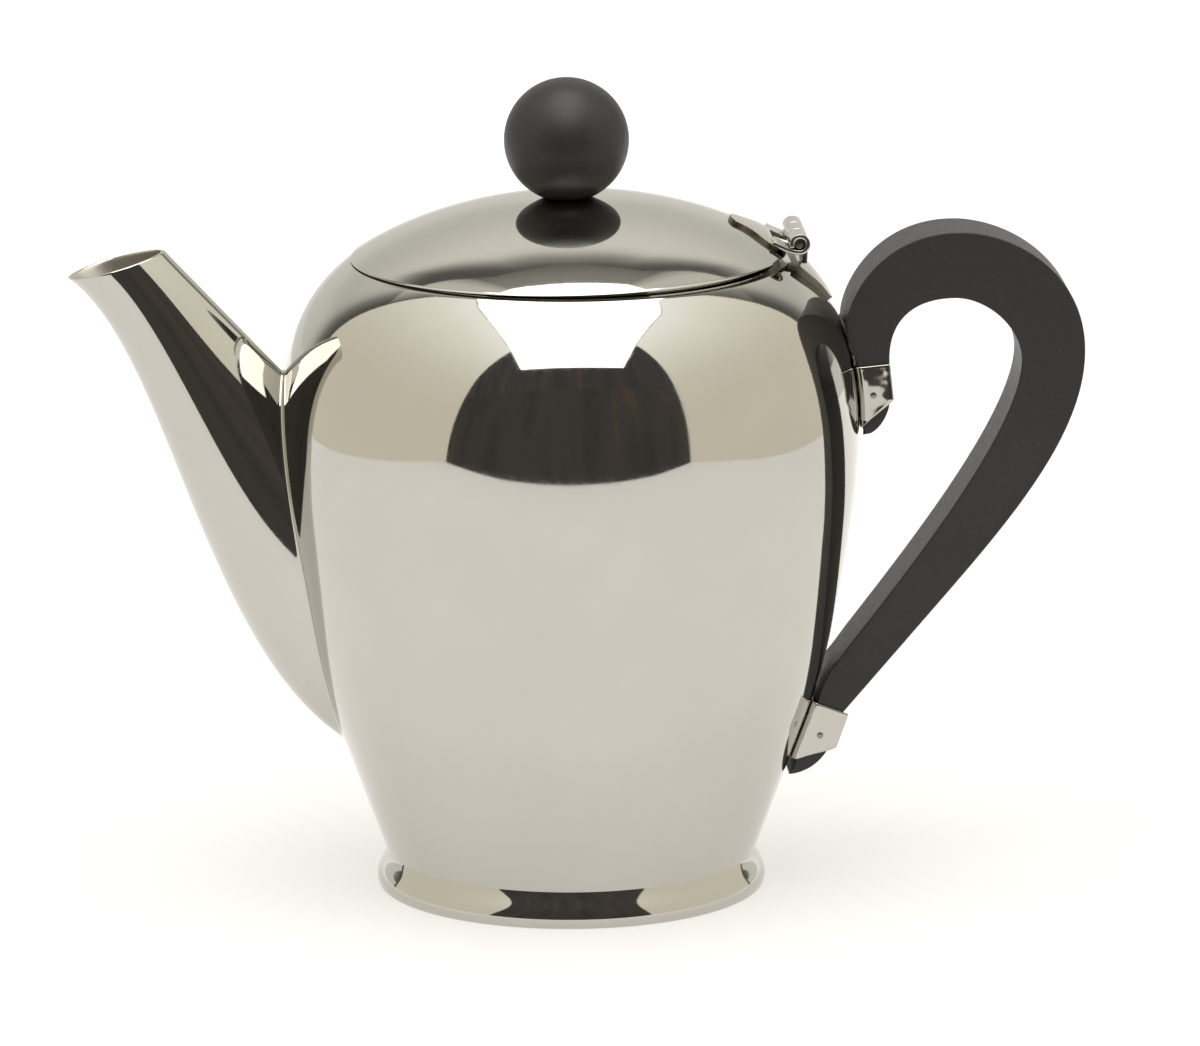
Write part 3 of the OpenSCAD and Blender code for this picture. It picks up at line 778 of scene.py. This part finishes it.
def bracket_mesh(pin):
    """One folded strip: two cheeks beside the handle and a back that lies on the body."""
    lean = math.atan(float(body_side(pin[1])[1]))
    away = np.array([math.cos(lean), 0, -math.sin(lean)])
    up = np.array([math.sin(lean), 0, math.cos(lean)])
    centre = np.array([pin[0], 0, pin[1]])
    half_t, bend = BRACKET_T / 2, 1.1
    y_mid = CHEEK_OUT - half_t
    edge_u, edge_v = np.array(CHEEK_EDGE[::-1]).T
    lowest, highest = edge_v[0], edge_v[-1]

    def surface_u(v, y):
        """How far out from the pin the body's surface is at height v and width y."""
        low, high = np.full_like(y, -9.0), np.full_like(y, 3.0)
        for _ in range(30):
            u = (low + high) / 2
            p = centre + u[:, None] * away + v * up + np.stack([0 * y, y, 0 * y], 1)
            inside = np.hypot(p[:, 0], p[:, 1]) < body_side(p[:, 2])[0]
            low, high = np.where(inside, u, low), np.where(inside, high, u)
        return u

    def section(v, share):
        """The strip at height v, with a share of its thickness, as one ring of points."""
        tip = float(np.interp(np.clip(v, lowest + 0.05, highest), edge_v, edge_u))
        back_y = np.linspace(-(y_mid - bend), y_mid - bend, 15)
        back_u = surface_u(v, back_y) + FACE_GAP + half_t
        base = back_u[0]
        bottom = min(base + bend, tip - EDGE_CAP - 0.05)
        cheek_u = np.linspace(tip - EDGE_CAP, bottom, 7)
        a = np.linspace(0, math.pi / 2, 7)[1:-1]
        fold_u = bottom - (bottom - base) * np.sin(a)
        fold_y = y_mid - bend * (1 - np.cos(a))
        u = np.concatenate([cheek_u, fold_u, back_u[::-1], fold_u[::-1], cheek_u[::-1]])
        y = np.concatenate([np.full(7, y_mid), fold_y, back_y[::-1], -fold_y[::-1],
                            np.full(7, -y_mid)])
        line = np.stack([u, y], 1)
        way = unit(np.gradient(line, axis=0))
        side = np.stack([-way[:, 1], way[:, 0]], 1) * half_t * share
        caps = []
        for end, w, s in ((line[-1], way[-1], side[-1]), (line[0], -way[0], -side[0])):
            for c in np.linspace(0, math.pi, 6)[1:-1]:
                caps.append(end + s * math.cos(c) + w * EDGE_CAP * share * math.sin(c))
        loop = np.concatenate([line + side, caps[:4], (line - side)[::-1], caps[4:]])
        return centre + loop[:, :1] * away + v * up + loop[:, 1:] * np.array([0, 1.0, 0])

    # The strip thins towards its upper and lower ends.
    thin = [(EDGE_RISE * (1 - math.cos(a)), EDGE_THIN + (1 - EDGE_THIN) * math.sin(a))
            for a in np.linspace(0, math.pi / 2, 5)[:-1]]
    levels = sorted({*np.linspace(lowest + 0.3, highest - 0.3, 40), *edge_v[1:-1]})
    rings = ([section(lowest + rise, share) for rise, share in thin]
             + [section(v, 1.0) for v in levels]
             + [section(highest - rise, share) for rise, share in thin[::-1]])
    return skin(rings)


# The two outer bands of each domed end are painted dark: painted shade, as in the gap round a
# riveted pin.
shaded_rim_bands = (PIN_STEPS - 2, PIN_STEPS - 1, PIN_STEPS + 1, PIN_STEPS + 2)
shaded_rim_faces = [band * CROSS_PIN_SIDES + i for band in shaded_rim_bands for i in range(CROSS_PIN_SIDES)]
for label, pin in (("upper", UPPER_PIN), ("lower", LOWER_PIN)):
    bracket = make_mesh(label + "_bracket_strip", *bracket_mesh(pin), sharp=60, weighted=True)
    finish_piece(bracket, "pot", [label + "_bracket"], "bright_steel", dented)
    rod = pin_along_y(CROSS_PIN_R, CHEEK_OUT + CROSS_PIN_OUT, CROSS_PIN_DOME, pin, CROSS_PIN_SIDES)
    cross_pin = make_mesh(label + "_cross_pin_rod", *rod, sharp=60, second=shaded_rim_faces)
    finish_piece(cross_pin, "pot", [label + "_cross_pin"], "bright_steel", rivet_steel, sheared_and_shaded)

# ------------------------ handle

back_gap = BRACKET_T + 2 * FACE_GAP
HOLLOW_LOW, HOLLOW_HIGH, HOLLOW_REACH = 98.0, 121.8, 1.5
handle_outline = np.concatenate([
    body_curve(99, 114.6, back_gap, 10),
    body_curve(116.4, 121.6, 0.35, 6),
    bezier((58.6, 122.4), (58.6, 128), (65.4, 142.7), (82.6, 142.7), 44),
    bezier((82.6, 142.7), (93.9, 142.7), (109.8, 134), (109.8, 116.4), 44),
    bezier((109.8, 116.4), (109.8, 96.1), (90, 75.3), (71.8, 53.8), 40),
    bezier((71.8, 53.8), (67.3, 48.6), (62.9, 43.4), (58.4, 38.2), 8),
    bezier((58.4, 38.2), (57.0, 35.6), (55.8, 32.4), (54.6, 29.3), 8),
    bezier((54.6, 29.3), (52.6, 26.2), (49.4, 24.6), (46.6, 24.5), 16),
    body_curve(26.2, 44.6, back_gap, 10),
    bezier((55.6, 47.6), (57.2, 49.4), (58.6, 51.5), (60, 53.4), 6),
    bezier((60, 53.4), (73.5, 71), (96.2, 100.3), (96.2, 114.7), 40),
    bezier((96.2, 114.7), (96.2, 121.9), (88.6, 128.4), (81.8, 128.4), 30),
    bezier((81.8, 128.4), (72.8, 128.4), (67.9, 123.6), (67.9, 115.6), 30),
    bezier((67.9, 115.6), (67.9, 112.0), (67.9, 108.6), (67.9, 105.2), 6),
    bezier((67.9, 105.2), (67.3, 102), (65, 99.2), (63, 99), 14)])
handle_points, handle_faces = slab(handle_outline, -HANDLE_HALF, HANDLE_HALF, 0.3, 4, middle=7)
# Where it lies on the body, the handle's back is hollowed to follow the body's round side.
x, y, z = handle_points.T
side_r = body_side(z)[0] + HOLLOW_REACH
hollow = (x < side_r) & (z > HOLLOW_LOW) & (z < HOLLOW_HIGH)
handle_points[hollow, 0] -= (side_r - np.sqrt(side_r ** 2 - y ** 2))[hollow]
handle = make_mesh("loop_handle", handle_points, handle_faces, sharp=40, weighted=True)
finish_piece(handle, "pot", ["handle"], "black_plastic", black)

# The screw, washer and insert keep their CAD shapes and get their finish here.
for name, material in (("knob_screw", bright), ("knob_washer", bright), ("knob_insert", brass)):
    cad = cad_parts[name]
    cad.data.materials.clear()
    cad.data.materials.append(material)
    cad.data.shade_smooth()
    cad.data.set_sharp_from_angle(angle=math.radians(30))

# ------------------------ room, floor, light and camera

# The room is built so that the steel mirrors the bands and edges that belong to it. The pot
# alone sees its cards; the camera and the floor don't.
ROOM_TOP, BACK_Y, BEAM_HALF = 1.56, 0.48, 0.30


def stage_mesh(name, corners, faces, material, glossy_only=True):
    """A stage object, seen only in reflections unless glossy_only is off."""
    mesh = bpy.data.meshes.new(name)
    mesh.from_pydata(corners, [], faces)
    obj = new_object(name, mesh)
    mesh.materials.append(material)
    if glossy_only:
        obj.visible_camera = obj.visible_diffuse = False
        obj.visible_shadow = obj.visible_transmission = False
    return obj


def card_material(name, strength, colour=None, span=None, stops=(), streaks=False):
    """A lit card of one colour, or coloured by height over the span, or by its own glow colours.
    Streaks are faint upright bands, as from folds in dark cloth."""
    material = bpy.data.materials.new(name)
    material.use_nodes = True
    tree = material.node_tree
    tree.nodes.clear()
    out = node(tree, "ShaderNodeOutputMaterial")
    glow = node(tree, "ShaderNodeEmission", in_Strength=strength)
    if colour:
        glow.inputs["Color"].default_value = (*colour, 1)
    elif span:
        shade = ramp_along(tree, "Z", *span, stops)
        if streaks:
            folds = noise(tree, 9.0, 4.0, 0.6, (1, 1, 0.06))
            both = node(tree, "ShaderNodeMix", data_type="RGBA", blend_type="MULTIPLY")
            both.inputs["Factor"].default_value = 1.0
            tree.links.new(shade, both.inputs["A"])
            tree.links.new(ramp(tree, folds.outputs["Fac"],
                                [(0.38, (0.86, 0.82, 0.80)), (0.50, (1.0, 1.0, 1.0)),
                                 (0.58, (1.10, 1.0, 0.93)), (0.66, (1.5, 1.15, 1.0))]),
                           both.inputs["B"])
            shade = both.outputs["Result"]
        tree.links.new(shade, glow.inputs["Color"])
    else:
        own = node(tree, "ShaderNodeAttribute", attribute_name="glow")
        tree.links.new(own.outputs["Color"], glow.inputs["Color"])
    tree.links.new(glow.outputs["Emission"], out.inputs["Surface"])
    return material


floor_material, floor_tree, floor_shader = new_material("pale_floor")
floor_shader.inputs["Roughness"].default_value = 0.9
floor_shader.inputs["Specular IOR Level"].default_value = 0.0
floor_grain = noise(floor_tree, 6.0, 3.0)
floor_tree.links.new(ramp(floor_tree, floor_grain.outputs["Fac"],
                          [(0.3, (0.355, 0.355, 0.35)), (0.7, (0.37, 0.37, 0.365))]),
                     floor_shader.inputs["Base Color"])
# The floor glows a little, so that it stays pale under the pot: less at its front, more far behind.
floor_glow = ramp_along(floor_tree, "Y", -0.52, 1.0, [
    (0.0, (0.66, 0.64, 0.61)), (0.15, (0.74, 0.71, 0.67)), (0.45, (0.74, 0.71, 0.67)),
    (0.9, (1.0, 0.98, 0.96))])
floor_tree.links.new(floor_glow, floor_shader.inputs["Emission Color"])
floor_shader.inputs["Emission Strength"].default_value = 0.83
floor_corners = [(x * 8.0, y * 8.0, 0) for x, y in ((-1, -1), (1, -1), (1, 1), (-1, 1))]
stage_mesh("floor", floor_corners, [(0, 1, 2, 3)], floor_material, glossy_only=False)


def strip(name, low, high, material):
    """A card between two lines of equally many points."""
    n = len(low)
    faces = [(i, i + 1, n + i + 1, n + i) for i in range(n - 1)]
    return stage_mesh(name, low + high, faces, material)


# The walls lean a little, and grow paler and less yellow towards the bright ceiling.
wall = card_material("wall_card", 1.55, span=(0.0, ROOM_TOP), stops=[
    (0.0, (0.580, 0.550, 0.465)), (0.19, (0.582, 0.555, 0.469)), (0.32, (0.626, 0.603, 0.516)),
    (0.48, (0.723, 0.697, 0.619)), (0.67, (0.813, 0.80, 0.729)), (0.83, (0.88, 0.88, 0.83)),
    (1.0, (0.93, 0.93, 0.89))])
left_base = [(-0.646, -0.529, 0), (-0.66, -0.42, 0), (-0.61, -0.03, 0), (-0.56, 0.165, 0),
             (-0.52, 0.38, 0)]
left_top = [(-0.592, -0.819, 1.40), (-0.596, -0.456, 1.5), (-0.60, -0.15, 1.55),
            (-0.599, 0.155, 1.56), (-0.55, 0.35, 1.56)]
right_base = [(0.551, -0.582, 0), (0.609, -0.39, 0), (0.61, -0.03, 0), (0.614, 0.185, 0),
              (0.60, 0.387, 0)]
right_top = [(0.562, -0.735, 1.45), (0.60, -0.383, 1.53), (0.65, -0.03, 1.56),
             (0.587, 0.169, 1.56), (0.60, 0.30, 1.56)]
strip("left_wall", left_base, left_top, wall)
strip("right_wall", right_base, right_top, wall)
# A dull line just inside the walls, where they meet the ceiling.
seam = card_material("seam_card", 0.42, colour=(1, 0.96, 0.86))
SEAM_HEIGHT = 0.028
for side, inward, top in (("left", 0.004, left_top), ("right", -0.004, right_top)):
    seam_top = [(x + inward, y, z) for x, y, z in top]
    strip(side + "_seam", [(x, y, z - SEAM_HEIGHT) for x, y, z in seam_top], seam_top, seam)

# In front: a dark opening, low and far away.
opening = card_material("dark_opening", 0.0765, span=(0.0, 2.2), streaks=True, stops=[
    (0.0, (0.94, 0.88, 0.82)), (0.25, (0.97, 0.93, 0.86)), (1.0, (1.0, 1.0, 1.0))])
strip("front_low", [(-0.646, -0.529, 0), (-0.27, -0.495, 0), (0, -0.515, 0), (0.28, -0.52, 0),
                    (0.551, -0.582, 0)],
      [(-0.630, -0.616, 0.42), (-0.27, -0.6, 0.42), (0, -0.6, 0.42), (0.28, -0.6, 0.42),
       (0.554, -0.626, 0.42)], opening)
strip("front_far", [(-3, -1.75, 0), (3, -1.75, 0)], [(-3, -1.75, 3.2), (3, -1.75, 3.2)], opening)

ceiling = card_material("ceiling_card", 3.7, colour=(1.0, 0.99, 0.97))
strip("ceiling", [(-0.63, -1.30, 1.29)] + left_top + [(-BEAM_HALF, BACK_Y, ROOM_TOP)],
      [(0.544, -1.30, 1.29)] + right_top + [(BEAM_HALF, BACK_Y, ROOM_TOP)], ceiling)

# Behind: a beam that hangs from the ceiling's far edge.
beam = card_material("back_beam", 0.40, span=(1.05, ROOM_TOP), stops=[
    (0.0, (0.62, 0.60, 0.54)), (0.35, (0.86, 0.83, 0.75)), (1.0, (0.98, 0.95, 0.86))])
beam_low = [(x, BACK_Y, z) for x, z in (
    (-BEAM_HALF, 0.98), (-0.24, 1.06), (0, 1.01), (0.24, 1.06), (BEAM_HALF, 0.98))]
strip("back_beam", beam_low, [(x, y, ROOM_TOP) for x, y, z in beam_low], beam)


def glow_colours(card, values):
    """Gives a card with its own glow one brightness per vertex, a little warm."""
    colours = card.data.color_attributes.new("glow", "FLOAT_COLOR", "POINT")
    for entry, value in zip(colours.data, values):
        entry.color = (value, value * 0.98, value * 0.90, 1)


# Between beam and wall: a slanted panel, dark where it meets either of them. Its lower border
# is x, y, z and glow, and it ends part of the way up the wall's far edge.
own_glow = card_material("own_glow_card", 1.0)
CORNER_LINE = [
    (BEAM_HALF, BACK_Y, 0.98, 0.40), (0.33, 0.468, 0.87, 0.62), (0.36, 0.456, 0.80, 0.80),
    (0.40, 0.440, 0.74, 0.84), (0.45, 0.410, 0.70, 0.76), (0.50, 0.385, 0.68, 0.42)]
WALL_SHARE, WALL_GLOW = 0.42, 0.15
for name, side, foot, head in (("left_back", -1, left_base[-1], left_top[-1]),
                               ("right_back", 1, right_base[-1], right_top[-1])):
    corner_low = [(side * x, y, z) for x, y, z, glow in CORNER_LINE]
    corner_top = [(x, y, ROOM_TOP) for x, y, z in corner_low] + [head]
    corner_low.append(tuple(a + WALL_SHARE * (b - a) for a, b in zip(foot, head)))
    corner_card = strip(name, corner_low, corner_top, own_glow)
    glow_colours(corner_card, 2 * ([glow for x, y, z, glow in CORNER_LINE] + [WALL_GLOW]))

# Behind everything: a round backdrop with no edge of its own, only a border where its glow ends.
# Its radius and base are in metres. The rest is in degrees: half its width, its middle, its upper
# border by angle from the middle, its brightness by height, and how it fades to side and top.
SWEEP_R, SWEEP_BASE = 1.15, 0.13
SWEEP_HALF, SWEEP_MIDDLE, SWEEP_TOP = 54.5, 178.0, 65.0
border_at = [0, 18, 23, 28, 32, 38, 42, 46, 55]
border_of = [62.5, 60.5, 57, 52, 47.5, 46, 49, 60, 62]
level_at = [0, 12, 18, 24, 30, 39, 46, 52, 63]
level_of = [0.74, 0.78, 0.72, 0.73, 0.79, 0.93, 1.00, 1.10, 1.10]
fade_at, side_of = [0, 2, 6, 10, 14, 18], [0.14, 0.17, 0.36, 0.78, 0.96, 1.0]
top_at, top_of = [-4, 0, 2.5, 6.5, 10.5, 14], [0.12, 0.13, 0.18, 0.42, 0.85, 1.0]
ways = np.linspace(-SWEEP_HALF, SWEEP_HALF, 73)
rises = np.linspace(0, SWEEP_TOP, 53)
sweep_points, sweep_glow = [], []
for rise in rises:
    for way in ways:
        turn = math.radians(SWEEP_MIDDLE + way)
        sweep_points.append((SWEEP_R * math.sin(turn), -SWEEP_R * math.cos(turn),
                             SWEEP_BASE + SWEEP_R * math.tan(math.radians(rise))))
        from_top = np.interp(abs(way), border_at, border_of) - rise
        sweep_glow.append(float(np.interp(rise, level_at, level_of)
                                * np.interp(SWEEP_HALF - abs(way), fade_at, side_of)
                                * np.interp(from_top, top_at, top_of)))
columns = len(ways)
sweep_faces = [(i, i + 1, i + columns + 1, i + columns)
               for i in range((len(rises) - 1) * columns) if (i + 1) % columns]
sweep_card = stage_mesh("back_sweep", sweep_points, sweep_faces, own_glow)
glow_colours(sweep_card, sweep_glow)

# Under the backdrop: a low pale band.
APRON_HEIGHT = 0.14
apron_line = [(-1.05, 0.0), (-1.0, 0.6), (-0.5, 1.1), (0.5, 1.1), (1.0, 0.6), (1.05, 0.0)]
apron = card_material("apron_card", 0.82, colour=(1, 0.99, 0.93))
strip("back_apron", [(x, y, 0) for x, y in apron_line],
      [(x, y, APRON_HEIGHT) for x, y in apron_line], apron)

# A dark bar along each wall's far edge.
BAR_WIDTH = 0.03
bar = card_material("dark_bar", 0.13, colour=(1, 0.93, 0.82))
for side, foot, head in (("left", left_base[-1], left_top[-1]),
                         ("right", right_base[-1], right_top[-1])):
    strip(side + "_bar", [foot, (foot[0], foot[1] + BAR_WIDTH, foot[2])],
          [head, (head[0], head[1] + BAR_WIDTH, head[2])], bar)

world = bpy.data.worlds.new("studio")
bpy.context.scene.world = world
world.use_nodes = True
background = world.node_tree.nodes["Background"]
background.inputs["Color"].default_value = (1.0, 0.995, 0.98, 1)
background.inputs["Strength"].default_value = 0.78

# One soft light over the pot, which shows in no reflection.
softbox = bpy.data.lights.new("top_softbox", "AREA")
softbox.shape, softbox.size, softbox.size_y, softbox.energy = "RECTANGLE", 1.2, 1.3, 18.0
softbox_object = new_object("top_softbox", softbox)
softbox_object.location = (0, -0.25, 1.5)
softbox_object.rotation_mode = "QUATERNION"
softbox_object.rotation_quaternion = softbox_object.location.to_track_quat("Z", "Y")
softbox_object.visible_glossy = softbox_object.visible_camera = False

bpy.context.scene.view_settings.view_transform = "Standard"

# The camera looks at a point from an angle round, an angle up and a distance, and is rolled.
azimuth, elevation, roll = (math.radians(angle) for angle in (-3.2, 12.764, -0.1721))
target, distance = np.array([0.0064513, 0.0, 0.0787247]), 1.85
camera = bpy.data.cameras.new("camera")
camera.sensor_width, camera.lens = 36.0, 258.74
camera.clip_start, camera.clip_end = 0.05, 50.0
camera_object = new_object("camera", camera)
back = np.array([math.sin(azimuth) * math.cos(elevation),
                 -math.cos(azimuth) * math.cos(elevation), math.sin(elevation)])
camera_object.location = tuple(target + back * distance)
facing = Vector(-back).to_track_quat("-Z", "Y")
camera_object.rotation_mode = "QUATERNION"
camera_object.rotation_quaternion = facing @ Quaternion((0, 0, 1), roll)
bpy.context.scene.camera = camera_object
